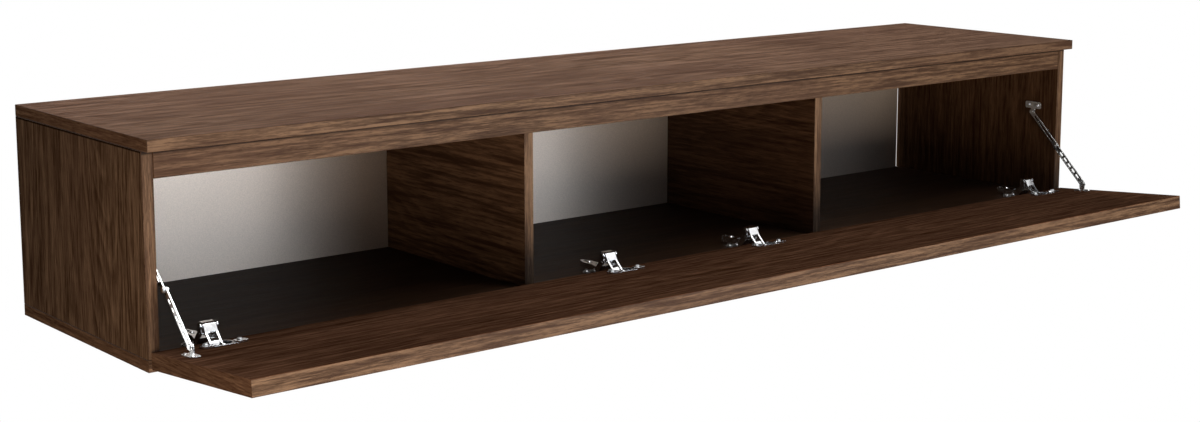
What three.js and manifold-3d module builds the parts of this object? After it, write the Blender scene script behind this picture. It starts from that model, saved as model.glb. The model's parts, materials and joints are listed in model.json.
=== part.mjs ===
// A wall-hung media console: a carcass of veneered boards in three bays, shut by one drop-down flap
// on four cup hinges, with a folding stay at each end. It is drawn with the flap open.
import * as THREE from "three";
import { mergeVertices } from "three/addons/utils/BufferGeometryUtils.js";
import Module from "manifold-3d";

const wasm = await Module();
wasm.setup();

// Carcass, in millimetres. Inside the cabinet x is 0 in the middle, y is 0 at the front edges of
// the sides and grows towards the wall, and z is 0 at the underside.
const width = 1800;
const height = 297;
const carcassDepth = 382;
const topOverhang = 18;
const boardThickness = 16;
const sideBayWidth = 583;
const fasciaHeight = 36;
const backThickness = 4;
const backEndGap = 2.5;
const railHeight = 80;
const railThickness = 16;
const wallHoleRadius = 3.5;
const wallHoleInset = 60;
const seat = 0.3; // between boards, and between a fitting and what it is screwed to
const weld = 0.0001; // corners closer than this are one corner
const overrun = 5; // how far every cutting solid runs past what it cuts

// Flap. Along runs from its hinged edge and up from its outer face.
const flapEndGap = 2.5;
const flapHeight = 254;
const flapThickness = 22;
const flapEdgeRadius = 1;
const openTilt = THREE.MathUtils.degToRad(5);
const openBack = 5.6;
const openRise = 5;
const shutGap = 2;
const shutRise = 1;

// Cup hinges: the places along the flap, the middle two as shares of half the middle bay, then the
// sizes of one hinge.
const outerHingeInset = 86;
const leftHingeShare = 0.544;
const rightHingeShare = 0.474;
const pinRadius = 1.5;
const pinClearance = 0.3;
const runningGap = 0.4;
const armPivotBack = 5;
const armPivotHeight = 31;
const innerPivotBack = 5.8;
const innerPivotHeight = 20.9;
const cupPivotReach = 12;
const innerCupPivotReach = 7;
const cupCentre = 21.5;
const cupRadius = 17.2;
const cupWall = 1;
const cupDepth = 12.7;
const flangeRadius = 19;
const flangeThickness = 1;
const earThickness = 3;
const earStart = 26;
const earEnd = 40;
const earHalfWidth = 32.5;
const earGapHalfWidth = 14;
const earCornerRadius = 3;
const cupScrewSpacing = 48;
const cupScrewAlong = 30;

const linkHalfWidth = 9;
const linkThickness = 2.2;
const linkLegInside = 6.2;
const linkHoodRadius = 4.8;
const linkHoodLength = 6.5;
const linkKneeDrop = 1;
const linkWebRise = 1.5;
const cupKnuckleRadius = 2.8;
const innerLinkHalfWidth = 5.4;
const innerLinkThickness = 2;
const innerKnuckleRadius = 3;
const innerCupKnuckleRadius = 2.4;
const innerArchHeight = 5.3;
const archRiseShare = 0.12;
const archCrownShare = 0.3;

const noseHalfWidth = 12.5;
const noseWall = 1.5;
const noseHalfDepth = 4.6;
const pinHeadHeight = 0.6;
const pinHeadRadius = 2.4;
const armStart = 14.5;
const armFlareEnd = 34;
const armTaperStart = 54;
const armEnd = 70;
const armHalfWidth = 8;
const armTipHalfWidth = 3.5;
const armWall = 1.5;
const armUnderside = 3.5;
const armTop = 12.5;
const armSlotHalfWidth = 1.7;
const armSlotLength = 9;
const adjusterHoleRadius = 2.6;

const plateBack = 37;
const plateLength = 32;
const wingHalfLength = 21;
const wingWidth = 13;
const wingThickness = 2;
const plateScrewSpacing = 32;

const screwShankRadius = 2;
const screwHeadRadius = 3.8;
const screwHeadHeight = 1.9;
const screwLength = 12;
const screwTipLength = 1.5;

// Folding stays. Distances from the side are measured from its inner face.
const stayPivotBack = 51;
const stayPivotHeight = 146;
const stayFootAlong = 66.5;
const stayFootHeight = 12;
const upperArmLength = 81;
const upperArmWidth = 9;
const upperArmThickness = 2;
const upperSlotWidth = 3.4;
const upperSlotStart = 12;
const upperSlotEnd = 68;
const lowerArmWidth = 10;
const lowerWebThickness = 1.2;
const lowerRibThickness = 1.3;
const lowerRibHeight = 0.9;
const lowerSlotCount = 5;
const lowerSlotWidth = 3.6;
const lowerSlotLength = 9;
const lowerSlotMargin = 12;
const knuckleBarrelRadius = 2.4;
const knuckleBarrelLength = 4.5;
const rivetRadius = 2;
const rivetHeadRadius = 3.6;
const rivetHeadHeight = 1;
const bracketThickness = 1.5;
const bracketLength = 34;
const bracketHeight = 12;
const bracketRise = 12;
const bracketCornerRadius = 3;
const footLength = 30;
const footWidth = 14;
const footThickness = 1.6;
const footEarThickness = 1.5;
const footEarRadius = 5;

const roundSides = 12;
const smallSides = 8;
const cupSides = 20;
const halfTurn = Math.PI;
const quarterTurn = Math.PI / 2;

// Colours, as the piece is seen in soft light.
const walnut = new THREE.MeshStandardMaterial({ color: 0x4f392c, roughness: 0.55, metalness: 0 });
const backBoard = new THREE.MeshStandardMaterial({ color: 0xb9b7b4, roughness: 0.7, metalness: 0 });
const nickel = new THREE.MeshStandardMaterial({ color: 0xd9dadb, roughness: 0.2, metalness: 1 });
const zinc = new THREE.MeshStandardMaterial({ color: 0xc2c4c6, roughness: 0.35, metalness: 1 });

// Solids

function solidOf(geometry) {
  const plain = geometry.index ? geometry.toNonIndexed() : geometry.clone();
  plain.deleteAttribute("normal");
  plain.deleteAttribute("uv");
  const merged = mergeVertices(plain, weld);
  return new wasm.Manifold(
    new wasm.Mesh({
      numProp: 3,
      vertProperties: merged.attributes.position.array,
      triVerts: new Uint32Array(merged.index.array),
    }),
  );
}

function joined(solids) {
  return solids.reduce((whole, solid) => whole.add(solid));
}

function cut(solid, tools) {
  return tools.reduce((whole, tool) => whole.subtract(tool), solid);
}

function geometryOf(solid) {
  const mesh = solid.getMesh();
  const geometry = new THREE.BufferGeometry();
  geometry.setAttribute("position", new THREE.BufferAttribute(mesh.vertProperties, 3));
  geometry.setIndex(new THREE.BufferAttribute(mesh.triVerts, 1));
  geometry.computeVertexNormals();
  return geometry;
}

function place(group, name, material, solid) {
  const mesh = new THREE.Mesh(geometryOf(solid), material);
  mesh.name = name;
  group.add(mesh);
  return mesh;
}

// A box between two ends along each axis.
function block([x0, x1], [y0, y1], [z0, z1]) {
  const geometry = new THREE.BoxGeometry(x1 - x0, y1 - y0, z1 - z0);
  geometry.translate((x0 + x1) / 2, (y0 + y1) / 2, (z0 + z1) / 2);
  return solidOf(geometry);
}

// A round bar along x. Points in the side view are (y, z).
function barAcross(centre, radius, [x0, x1], sides = roundSides) {
  const geometry = new THREE.CylinderGeometry(radius, radius, Math.abs(x1 - x0), sides);
  geometry.rotateZ(quarterTurn);
  geometry.translate((x0 + x1) / 2, centre.x, centre.y);
  return solidOf(geometry);
}

// A round bar along z.
function barUpright([x, y], radius, [z0, z1], sides = roundSides) {
  const geometry = new THREE.CylinderGeometry(radius, radius, z1 - z0, sides);
  geometry.rotateX(quarterTurn);
  geometry.translate(x, y, (z0 + z1) / 2);
  return solidOf(geometry);
}

// An outline in the side view, given thickness along x.
function plateAcross(shape, [x0, x1], sides = roundSides) {
  const geometry = new THREE.ExtrudeGeometry(shape, {
    depth: Math.abs(x1 - x0),
    bevelEnabled: false,
    curveSegments: sides / 4,
  });
  geometry.rotateX(quarterTurn);
  geometry.rotateZ(quarterTurn);
  geometry.translate(Math.min(x0, x1), 0, 0);
  return solidOf(geometry);
}

// An outline seen from above, given thickness along z.
function plateUpright(shape, [z0, z1], sides = smallSides) {
  const geometry = new THREE.ExtrudeGeometry(shape, {
    depth: z1 - z0,
    bevelEnabled: false,
    curveSegments: sides / 4,
  });
  geometry.translate(0, 0, z0);
  return solidOf(geometry);
}

function roundedRectangle([x0, x1], [y0, y1], radius) {
  const shape = new THREE.Shape();
  shape.moveTo(x0 + radius, y0);
  shape.lineTo(x1 - radius, y0);
  shape.absarc(x1 - radius, y0 + radius, radius, -quarterTurn, 0);
  shape.lineTo(x1, y1 - radius);
  shape.absarc(x1 - radius, y1 - radius, radius, 0, quarterTurn);
  shape.lineTo(x0 + radius, y1);
  shape.absarc(x0 + radius, y1 - radius, radius, quarterTurn, halfTurn);
  shape.lineTo(x0, y0 + radius);
  shape.absarc(x0 + radius, y0 + radius, radius, halfTurn, halfTurn + quarterTurn);
  return shape;
}

// A strip of even thickness through points of the side view, with mitred bends and round ends.
function strap(points, halfThickness, span, sides = smallSides) {
  const runs = points.slice(1).map((point, i) => point.clone().sub(points[i]).normalize());
  const bends = runs.slice(1).map((run, i) => {
    const across = new THREE.Vector2(-run.y - runs[i].y, run.x + runs[i].x);
    return across.multiplyScalar(halfThickness / (1 + run.dot(runs[i])));
  });
  const first = points[0];
  const last = points[points.length - 1];
  const startAngle = runs[0].angle() + quarterTurn;
  const endAngle = runs[runs.length - 1].angle() - quarterTurn;
  const shape = new THREE.Shape();
  shape.absarc(first.x, first.y, halfThickness, startAngle, startAngle + halfTurn);
  bends.forEach((aside, i) => {
    const corner = points[i + 1].clone().sub(aside);
    shape.lineTo(corner.x, corner.y);
  });
  shape.absarc(last.x, last.y, halfThickness, endAngle, endAngle + halfTurn);
  bends.slice().reverse().forEach((aside, i) => {
    const corner = points[points.length - 2 - i].clone().add(aside);
    shape.lineTo(corner.x, corner.y);
  });
  return plateAcross(shape, span, sides);
}

// The flap's motion, in the side view.

function flapPoint(along, up) {
  return new THREE.Vector2(-along, up)
    .rotateAround(new THREE.Vector2(), -openTilt)
    .add(new THREE.Vector2(-openBack, openRise));
}

const flapSwing = quarterTurn - openTilt;
const openCorner = flapPoint(0, 0);
const shutCorner = new THREE.Vector2(-shutGap - flapThickness, shutRise);

// The one point about which a plain turn carries the open flap to its shut place.
function poleOfFlap() {
  const move = shutCorner.clone().sub(openCorner);
  const aside = new THREE.Vector2(-move.y, move.x).divideScalar(2 * Math.tan(-flapSwing / 2));
  return openCorner.clone().add(shutCorner).divideScalar(2).add(aside);
}

const pole = poleOfFlap();
const armPivot = new THREE.Vector2(armPivotBack, boardThickness + armPivotHeight);
const innerArmPivot = new THREE.Vector2(innerPivotBack, boardThickness + innerPivotHeight);

// A cup pivot that is as far from its arm pivot when the flap is shut as when it is open.
function cupPivotFor(pivotOnArm, reach) {
  const direction = pivotOnArm.clone().sub(pole).angle() + flapSwing / 2;
  return new THREE.Vector2(Math.cos(direction), Math.sin(direction)).multiplyScalar(reach).add(pole);
}

function shut(point) {
  return point.clone().rotateAround(pole, -flapSwing);
}

const cupPivot = cupPivotFor(armPivot, cupPivotReach);
const innerCupPivot = cupPivotFor(innerArmPivot, innerCupPivotReach);
const linkSwing =
  shut(cupPivot).sub(armPivot).angle() - cupPivot.clone().sub(armPivot).angle();

// The same point in the flap's own side view.
function inFlap(point) {
  return point.clone().sub(openCorner).rotateAround(new THREE.Vector2(), openTilt);
}

// Groups

const mediaConsole = new THREE.Group();
const cabinet = new THREE.Group();
cabinet.position.set(0, -carcassDepth, -height / 2);
mediaConsole.add(cabinet);
const flap = new THREE.Group();
flap.position.set(0, openCorner.x, openCorner.y);
flap.rotation.x = -openTilt;
cabinet.add(flap);

const halfWidth = width / 2;
const undersideOfTop = height - boardThickness;
const insideHalfWidth = halfWidth - boardThickness;
const dividerOuter = insideHalfWidth - sideBayWidth;
const dividerInner = dividerOuter - boardThickness;
const backFront = carcassDepth - backThickness;
const hingePlaces = [
  -halfWidth + outerHingeInset,
  -leftHingeShare * dividerInner,
  rightHingeShare * dividerInner,
  halfWidth - outerHingeInset,
];

// Carcass boards

const bays = [
  ["left", -insideHalfWidth, -dividerOuter],
  ["middle", -dividerInner, dividerInner],
  ["right", dividerOuter, insideHalfWidth],
];
const wallHoleHeight = undersideOfTop - seat - railHeight / 2;
const wallHoles = bays.flatMap(([, from, to]) => [from + wallHoleInset, to - wallHoleInset]);

function wallHoleThrough(x, [y0, y1]) {
  const geometry = new THREE.CylinderGeometry(wallHoleRadius, wallHoleRadius, y1 - y0, roundSides);
  geometry.translate(x, (y0 + y1) / 2, wallHoleHeight);
  return solidOf(geometry);
}

function addCarcass() {
  const upright = [boardThickness + seat, undersideOfTop - seat];
  const full = [-halfWidth, halfWidth];
  place(cabinet, "top_panel", walnut,
    block(full, [-topOverhang, carcassDepth], [undersideOfTop, height]));

  const screwHoles = hingePlaces.flatMap((x) => [-1, 1].map((hand) =>
    barUpright([x + (hand * plateScrewSpacing) / 2, plateBack], screwShankRadius + seat,
      [boardThickness - screwLength, boardThickness + overrun], smallSides)));
  place(cabinet, "bottom_panel", walnut,
    cut(block(full, [0, carcassDepth], [0, boardThickness]), screwHoles));

  place(cabinet, "side_panel_left", walnut,
    block([-halfWidth, -insideHalfWidth], [0, carcassDepth], upright));
  place(cabinet, "side_panel_right", walnut,
    block([insideHalfWidth, halfWidth], [0, carcassDepth], upright));

  const behindFascia = [boardThickness + seat, backFront - seat];
  place(cabinet, "divider_left", walnut,
    block([-dividerOuter, -dividerInner], behindFascia, upright));
  place(cabinet, "divider_right", walnut,
    block([dividerInner, dividerOuter], behindFascia, upright));
  place(cabinet, "fascia_rail", walnut,
    block([-insideHalfWidth + seat, insideHalfWidth - seat], [0, boardThickness],
      [upright[1] - fasciaHeight, upright[1]]));

  const backSpan = [-insideHalfWidth + backEndGap, insideHalfWidth - backEndGap];
  place(cabinet, "back_panel", backBoard,
    cut(block(backSpan, [backFront, carcassDepth], upright),
      wallHoles.map((x) => wallHoleThrough(x, [backFront - overrun, carcassDepth + overrun]))));
}

function addHangingRails() {
  const rear = backFront - seat;
  for (const [bay, from, to] of bays) {
    const rail = block([from + seat, to - seat], [rear - railThickness, rear],
      [undersideOfTop - seat - railHeight, undersideOfTop - seat]);
    const holes = [from + wallHoleInset, to - wallHoleInset].map((x) =>
      wallHoleThrough(x, [rear - railThickness - overrun, rear + overrun]));
    place(cabinet, `hanging_rail_${bay}`, walnut, cut(rail, holes));
  }
}

// Flap panel, with its bores for the cups and their screws

function addFlapPanel() {
  const flapHalfWidth = halfWidth - flapEndGap;
  const outline = roundedRectangle([-flapHeight, 0], [0, flapThickness], flapEdgeRadius);
  const panel = plateAcross(outline, [-flapHalfWidth, flapHalfWidth]);
  const bores = hingePlaces.flatMap((x) => [
    barUpright([x, -cupCentre], cupRadius + seat,
      [flapThickness - cupDepth - seat, flapThickness + overrun], cupSides),
    ...[-1, 1].map((hand) =>
      barUpright([x + (hand * cupScrewSpacing) / 2, -cupScrewAlong], screwShankRadius + seat,
        [flapThickness - screwLength, flapThickness + overrun], smallSides)),
  ]);
  place(flap, "flap_panel", walnut, cut(panel, bores));
}

// Cup hinges

function screw() {
  const dome = new THREE.Path();
  dome.moveTo(0, -screwLength);
  dome.lineTo(screwShankRadius / 2, -screwLength);
  dome.lineTo(screwShankRadius, screwTipLength - screwLength);
  dome.lineTo(screwShankRadius, 0);
  dome.lineTo(screwHeadRadius, 0);
  dome.absellipse(0, 0, screwHeadRadius, screwHeadHeight, 0, quarterTurn, false, 0);
  const profile = dome.getPoints(smallSides / 4);
  const geometry = new THREE.LatheGeometry(profile, smallSides);
  geometry.rotateX(quarterTurn);
  return solidOf(geometry);
}

// The cup, its flange and the two studs of its main pivot, in the flap's own place.
function hingeCup() {
  const face = flapThickness + seat;
  const floor = flapThickness - cupDepth;
  const mouthRadius = cupRadius - cupWall;
  const stud = inFlap(cupPivot);
  const mouthHalfChord = Math.sqrt(mouthRadius ** 2 - (-stud.x - cupCentre) ** 2);
  const shell = joined([
    barUpright([0, -cupCentre], cupRadius, [floor, face + flangeThickness], cupSides),
    barUpright([0, -cupCentre], flangeRadius, [face, face + flangeThickness], cupSides),
    plateUpright(
      roundedRectangle([-earHalfWidth, earHalfWidth], [-earEnd, -earStart], earCornerRadius),
      [face, face + flangeThickness],
    ),
    ...[-1, 1].map((hand) => {
      const ends = [hand * earGapHalfWidth, hand * earHalfWidth].sort((a, b) => a - b);
      return plateUpright(roundedRectangle(ends, [-earEnd, -earStart], earCornerRadius),
        [face, face + earThickness]);
    }),
  ]);
  const hollow = cut(shell, [
    barUpright([0, -cupCentre], mouthRadius, [floor + cupWall, face + overrun], cupSides),
    ...[-1, 1].map((hand) =>
      barUpright([(hand * cupScrewSpacing) / 2, -cupScrewAlong], screwShankRadius + pinClearance,
        [face - overrun, face + earThickness + overrun], smallSides)),
  ]);
  const studs = [-1, 1].map((hand) =>
    barAcross(stud, pinRadius - pinClearance / 2,
      [hand * linkLegInside, hand * (mouthHalfChord + cupWall / 2)], smallSides));
  return joined([hollow, ...studs]);
}

// The outer link is drawn shut about its arm pivot, where it has to lie behind the flap's face and
// turn the cup's rim, and it is then turned open.
function outerLink() {
  const half = linkThickness / 2;
  const faceShut = -shutGap + seat + flangeThickness + runningGap - armPivot.x;
  const mouthHalf = Math.sqrt((cupRadius - cupWall) ** 2 - linkHalfWidth ** 2);
  const mouthTop = shutRise + cupCentre + mouthHalf - armPivot.y;
  const knee = new THREE.Vector2(faceShut + half, mouthTop - linkKneeDrop);
  const webEnd = new THREE.Vector2(faceShut + half, mouthTop + linkWebRise);
  const plateTop = new THREE.Vector2(faceShut + half, 0);
  const cupEnd = shut(cupPivot).sub(armPivot);
  const origin = new THREE.Vector2();
  const span = [-linkHalfWidth, linkHalfWidth];
  const legs = [-1, 1].flatMap((hand) => {
    const leg = [hand * linkLegInside, hand * linkHalfWidth];
    return [strap([cupEnd, knee, webEnd], half, leg), barAcross(cupEnd, cupKnuckleRadius, leg)];
  });
  const hoodTop = new THREE.Vector2(0, linkHoodRadius - half);
  const hoodEnd = new THREE.Vector2(linkHoodLength, linkHoodRadius - half);
  const opened = [hoodTop, hoodEnd].map((point) => point.rotateAround(origin, linkSwing));
  const body = joined([
    strap([webEnd, plateTop], half, span),
    barAcross(origin, linkHoodRadius, span),
    strap(opened, half, span),
    ...legs,
  ]);
  const bore = pinRadius + pinClearance;
  const wide = [-linkHalfWidth - overrun, linkHalfWidth + overrun];
  return cut(body, [
    barAcross(origin, bore, wide, smallSides),
    barAcross(cupEnd, bore, wide, smallSides),
  ]);
}

// The inner link arches over the rim of the cup. Its cup end is free of its pivot by a small gap.
function innerLink() {
  const span = [-innerLinkHalfWidth, innerLinkHalfWidth];
  const rise = innerCupPivot.clone().lerp(innerArmPivot, archRiseShare);
  const crown = innerCupPivot.clone().lerp(innerArmPivot, archCrownShare);
  rise.y += innerArchHeight;
  crown.y += innerArchHeight + innerLinkThickness / 2;
  const points = [innerCupPivot, rise, crown, innerArmPivot];
  const body = joined([
    strap(points, innerLinkThickness / 2, span),
    barAcross(innerArmPivot, innerKnuckleRadius, span),
    barAcross(innerCupPivot, innerCupKnuckleRadius, span),
  ]);
  const wide = [-innerLinkHalfWidth - overrun, innerLinkHalfWidth + overrun];
  return cut(body, [barAcross(innerArmPivot, pinRadius + pinClearance, wide, smallSides)]);
}

// The arm's outline from above, set in by a margin.
function armOutline(margin) {
  const shape = new THREE.Shape();
  const tip = armTipHalfWidth - margin;
  const rear = armEnd - margin - tip;
  shape.moveTo(-noseHalfWidth + margin, armStart + margin);
  shape.lineTo(noseHalfWidth - margin, armStart + margin);
  shape.lineTo(noseHalfWidth - margin, armStart + noseHalfDepth);
  shape.lineTo(armHalfWidth - margin, armFlareEnd);
  shape.lineTo(armHalfWidth - margin, armTaperStart);
  shape.lineTo(tip, rear);
  shape.absarc(0, rear, tip, 0, halfTurn);
  shape.lineTo(-armHalfWidth + margin, armTaperStart);
  shape.lineTo(-armHalfWidth + margin, armFlareEnd);
  shape.lineTo(-noseHalfWidth + margin, armStart + noseHalfDepth);
  return shape;
}

// The arm: a thin channel over the mounting plate, with a forked nose that holds both pins.
function hingeArm() {
  const low = boardThickness + armUnderside;
  const high = boardThickness + armTop;
  const channel = cut(plateUpright(armOutline(0), [low, high]), [
    plateUpright(armOutline(armWall), [low - overrun, high - armWall]),
  ]);
  const heel = new THREE.Vector2(armStart + noseHalfDepth / 2, high - noseHalfDepth);
  const cheeks = [-1, 1].map((hand) =>
    strap([armPivot, innerArmPivot, heel], noseHalfDepth,
      [hand * (noseHalfWidth - noseWall), hand * noseHalfWidth], roundSides));
  const pins = [armPivot, innerArmPivot].flatMap((pivot) => [
    barAcross(pivot, pinRadius, [-noseHalfWidth, noseHalfWidth], smallSides),
    ...[-1, 1].map((hand) => barAcross(pivot, pinHeadRadius,
      [hand * noseHalfWidth, hand * (noseHalfWidth + pinHeadHeight)], smallSides)),
  ]);
  const slotMiddle = armTaperStart - armSlotLength / 2;
  const openings = [
    plateUpright(
      roundedRectangle([-armSlotHalfWidth, armSlotHalfWidth],
        [slotMiddle - armSlotLength / 2, slotMiddle + armSlotLength / 2], armSlotHalfWidth),
      [high - armWall - seat, high + overrun],
    ),
    barUpright([0, armFlareEnd - adjusterHoleRadius], adjusterHoleRadius,
      [high - armWall - seat, high + overrun]),
  ];
  return joined([cut(channel, openings), ...cheeks, ...pins]);
}

// The mounting plate: a block that fills the channel of the arm, with a wing and a screw at each side.
function mountingPlate() {
  const low = boardThickness + seat;
  const half = armHalfWidth - armWall - seat;
  const top = boardThickness + armTop - armWall - seat;
  const ends = [plateBack - plateLength / 2, plateBack + plateLength / 2];
  const wings = roundedRectangle([-wingHalfLength, wingHalfLength],
    [plateBack - wingWidth / 2, plateBack + wingWidth / 2], wingWidth / 2);
  const body = joined([
    block([-half, half], ends, [low, top]),
    plateUpright(wings, [low, low + wingThickness]),
  ]);
  return cut(body, [-1, 1].map((hand) =>
    barUpright([(hand * plateScrewSpacing) / 2, plateBack], screwShankRadius + pinClearance,
      [low - overrun, low + overrun], smallSides)));
}

function addHinges() {
  hingePlaces.forEach((x, index) => {
    const number = index + 1;
    place(flap, `hinge_cup_${number}`, nickel, hingeCup()).position.x = x;
    const link = place(cabinet, `hinge_outer_link_${number}`, nickel, outerLink());
    link.position.set(x, armPivot.x, armPivot.y);
    link.rotation.x = -linkSwing;
    place(cabinet, `hinge_inner_link_${number}`, nickel, innerLink()).position.x = x;
    place(cabinet, `hinge_arm_${number}`, nickel, hingeArm()).position.x = x;
    place(cabinet, `hinge_plate_${number}`, zinc, mountingPlate()).position.x = x;
    [-1, 1].forEach((hand, side) => {
      const name = ["left", "right"][side];
      place(flap, `cup_screw_${number}_${name}`, zinc, screw()).position.set(
        x + (hand * cupScrewSpacing) / 2, -cupScrewAlong, flapThickness + seat + earThickness + seat);
      place(cabinet, `plate_screw_${number}_${name}`, zinc, screw()).position.set(
        x + (hand * plateScrewSpacing) / 2, plateBack, boardThickness + seat + wingThickness + seat);
    });
  });
}

// Folding stays

const stayPivot = new THREE.Vector2(stayPivotBack, boardThickness + stayPivotHeight);
const stayFoot = flapPoint(stayFootAlong, flapThickness + stayFootHeight);
const stayLine = stayFoot.clone().sub(stayPivot).normalize();
const stayKnuckle = stayPivot.clone().addScaledVector(stayLine, upperArmLength);
const lowerArmLength = stayKnuckle.distanceTo(stayFoot);

// How far each layer of a stay stands off the side, from the side outwards.
const bracketSpan = [seat, seat + bracketThickness];
const upperSpan = [bracketSpan[1] + rivetHeadHeight + runningGap,
  bracketSpan[1] + rivetHeadHeight + runningGap + upperArmThickness];
const lowerSpan = [upperSpan[1] + runningGap, upperSpan[1] + runningGap + lowerWebThickness];
const footEarSpan = [lowerSpan[1] + lowerRibHeight + runningGap,
  lowerSpan[1] + lowerRibHeight + runningGap + footEarThickness];

function alongStay(from, distance, aside = 0) {
  const across = new THREE.Vector2(-stayLine.y, stayLine.x);
  return from.clone().addScaledVector(stayLine, distance).addScaledVector(across, aside);
}

// x places of a layer for the stay on one side of the cabinet.
function layer(hand, [near, far]) {
  return [hand * (insideHalfWidth - near), hand * (insideHalfWidth - far)];
}

function sideBracket(hand) {
  const middle = stayPivot.y + bracketRise;
  const outline = roundedRectangle(
    [stayPivot.x - bracketLength / 2, stayPivot.x + bracketLength / 2],
    [middle - bracketHeight / 2, middle + bracketHeight / 2], bracketCornerRadius);
  const tab = new THREE.Vector2(stayPivot.x, middle);
  return joined([
    plateAcross(outline, layer(hand, bracketSpan)),
    strap([stayPivot, tab], upperArmWidth / 2, layer(hand, bracketSpan), roundSides),
    barAcross(stayPivot, rivetRadius,
      layer(hand, [bracketSpan[1] - seat, upperSpan[1] + runningGap + seat])),
    barAcross(stayPivot, rivetHeadRadius,
      layer(hand, [upperSpan[1] + runningGap, upperSpan[1] + runningGap + rivetHeadHeight])),
  ]);
}

function upperArm(hand) {
  const span = layer(hand, upperSpan);
  const through = layer(hand, [upperSpan[0] - overrun, upperSpan[1] + overrun]);
  const bar = strap([stayPivot, stayKnuckle], upperArmWidth / 2, span, roundSides);
  const head = barAcross(stayKnuckle, rivetHeadRadius,
    layer(hand, [upperSpan[0] - rivetHeadHeight, upperSpan[1]]));
  return cut(joined([bar, head]), [
    strap([alongStay(stayPivot, upperSlotStart), alongStay(stayPivot, upperSlotEnd)],
      upperSlotWidth / 2, through),
    barAcross(stayPivot, rivetRadius + pinClearance, through),
  ]);
}

function lowerArm(hand) {
  const web = layer(hand, lowerSpan);
  const ribs = layer(hand, [lowerSpan[0], lowerSpan[1] + lowerRibHeight]);
  const through = layer(hand, [lowerSpan[0] - overrun, lowerSpan[1] + overrun]);
  const ribAside = (lowerArmWidth - lowerRibThickness) / 2;
  const ribPieces = [-1, 1].map((edge) =>
    strap([alongStay(stayKnuckle, 0, edge * ribAside), alongStay(stayFoot, 0, edge * ribAside)],
      lowerRibThickness / 2, ribs));
  const slotRun = lowerArmLength - 2 * lowerSlotMargin;
  const pitch = slotRun / lowerSlotCount;
  const slots = Array.from({ length: lowerSlotCount }, (unused, index) => {
    const middle = lowerSlotMargin + pitch * index + pitch / 2;
    const half = (lowerSlotLength - lowerSlotWidth) / 2;
    return strap([alongStay(stayKnuckle, middle - half), alongStay(stayKnuckle, middle + half)],
      lowerSlotWidth / 2, through);
  });
  const body = joined([
    strap([stayKnuckle, stayFoot], lowerArmWidth / 2, web, roundSides),
    ...ribPieces,
    barAcross(stayKnuckle, rivetHeadRadius,
      layer(hand, [lowerSpan[1], lowerSpan[1] + rivetHeadHeight])),
    barAcross(stayKnuckle, knuckleBarrelRadius,
      layer(hand, [lowerSpan[1], lowerSpan[1] + knuckleBarrelLength])),
  ]);
  return cut(body, [...slots, barAcross(stayFoot, rivetRadius + pinClearance, through)]);
}

// The foot stands on the flap, so it is drawn in the flap's own place.
function footBracket(hand) {
  const pivot = inFlap(stayFoot);
  const face = flapThickness + seat;
  const ear = layer(hand, footEarSpan);
  const plateEnds = layer(hand, [runningGap, runningGap + footWidth]).sort((a, b) => a - b);
  const base = plateUpright(
    roundedRectangle(plateEnds, [pivot.x - footLength / 2, pivot.x + footLength / 2],
      bracketCornerRadius),
    [face, face + footThickness],
  );
  const heel = new THREE.Vector2(pivot.x, face + footEarRadius);
  return joined([
    base,
    strap([pivot, heel], footEarRadius, ear, roundSides),
    barAcross(pivot, rivetRadius, layer(hand, [lowerSpan[0] - runningGap, footEarSpan[1]])),
    barAcross(pivot, rivetHeadRadius,
      layer(hand, [lowerSpan[0] - runningGap - rivetHeadHeight, lowerSpan[0] - runningGap])),
  ]);
}

function addStays() {
  for (const [side, hand] of [["left", -1], ["right", 1]]) {
    place(cabinet, `stay_side_bracket_${side}`, zinc, sideBracket(hand));
    place(cabinet, `stay_upper_arm_${side}`, nickel, upperArm(hand));
    place(cabinet, `stay_lower_arm_${side}`, nickel, lowerArm(hand));
    place(flap, `stay_foot_${side}`, nickel, footBracket(hand));
  }
}

addCarcass();
addHangingRails();
addFlapPanel();
addHinges();
addStays();

export default mediaConsole;
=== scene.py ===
import json
import math

import bmesh
import bpy
from mathutils import Matrix, Vector


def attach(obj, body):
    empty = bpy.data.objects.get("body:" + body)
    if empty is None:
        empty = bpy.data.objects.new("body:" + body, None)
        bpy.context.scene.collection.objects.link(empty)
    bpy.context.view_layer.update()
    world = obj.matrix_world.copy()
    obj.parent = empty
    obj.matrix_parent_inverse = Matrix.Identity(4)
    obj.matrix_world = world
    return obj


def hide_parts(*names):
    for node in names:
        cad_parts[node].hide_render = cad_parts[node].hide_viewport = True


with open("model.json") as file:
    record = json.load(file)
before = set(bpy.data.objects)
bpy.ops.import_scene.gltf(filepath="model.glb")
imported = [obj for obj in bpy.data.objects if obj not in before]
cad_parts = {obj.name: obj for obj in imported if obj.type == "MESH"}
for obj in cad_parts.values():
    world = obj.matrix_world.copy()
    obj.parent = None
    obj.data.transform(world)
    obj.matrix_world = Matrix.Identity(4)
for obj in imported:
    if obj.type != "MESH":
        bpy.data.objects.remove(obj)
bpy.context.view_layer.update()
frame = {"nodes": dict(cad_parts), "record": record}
scene = bpy.context.scene
nodes = frame["nodes"]
behaviour = frame["record"]["behaviour"]
bodyOfNode = {node: body for body, names in behaviour["bodies"].items() for node in names}

# Sizes of the cabinet, the flap and the fittings are in millimetres; places of camera and lights, patterns
# and the boards' edges are in metres. Inside the cabinet x is 0 in the middle, y is 0 at the front edges of
# the sides and grows towards the wall, and z is 0 at the underside. Pieces that rest on each other keep the
# gap called seat.
cabinet = {"depth": 382, "height": 297, "board": 16, "seat": 0.3}
flap = {"back": 5.6, "rise": 5, "tilt": 5, "thick": 22}
hingeX = [-814, -155.04, 135.09, 814]
millimetre = 0.001

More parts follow.
